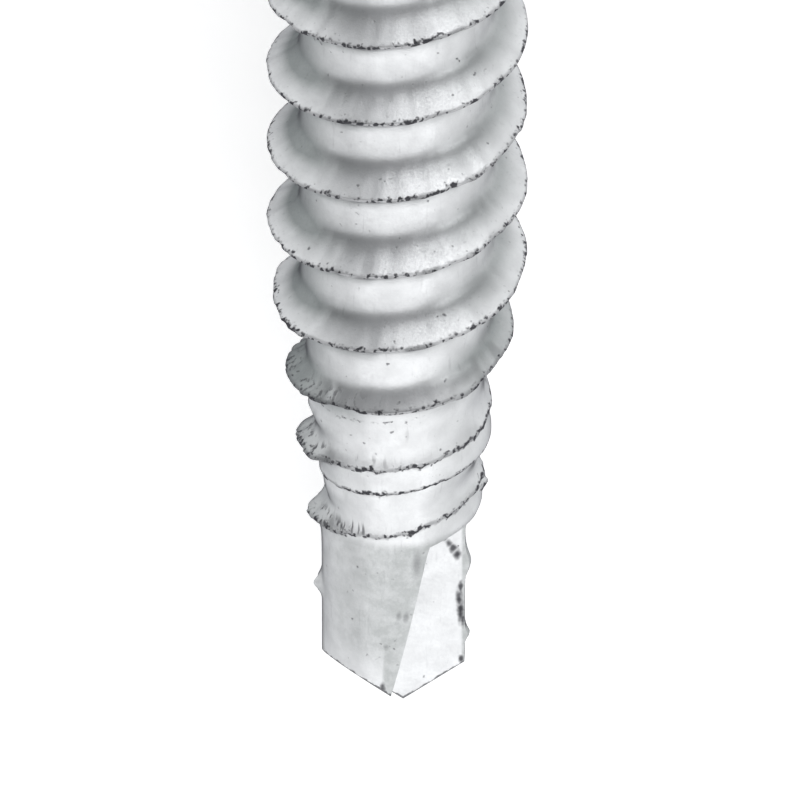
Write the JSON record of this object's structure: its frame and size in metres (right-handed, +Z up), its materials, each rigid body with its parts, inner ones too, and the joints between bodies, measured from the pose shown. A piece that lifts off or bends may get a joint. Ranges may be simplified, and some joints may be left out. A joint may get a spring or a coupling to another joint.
{
  "type": "self drilling screw",
  "caption": "Self-drilling screw, ST3.5 x 19, hexagon head, tapered thread end and forged drill point, lying on its side.",
  "frame": {"origin": "on the surface that the screw lies on, under the middle of its box", "axes": "+Z up; the screw lies along Y, head towards -Y and drill point towards +Y, its axis leaning up by 5.2 degrees towards the head"},
  "size_m": [0.0064, 0.0218, 0.0057],
  "materials": {
    "plated_steel": "satin zinc plate on case-hardened steel"
  },
  "bodies": {
    "root": {"screw": "plated_steel"}
  },
  "joints": []
}
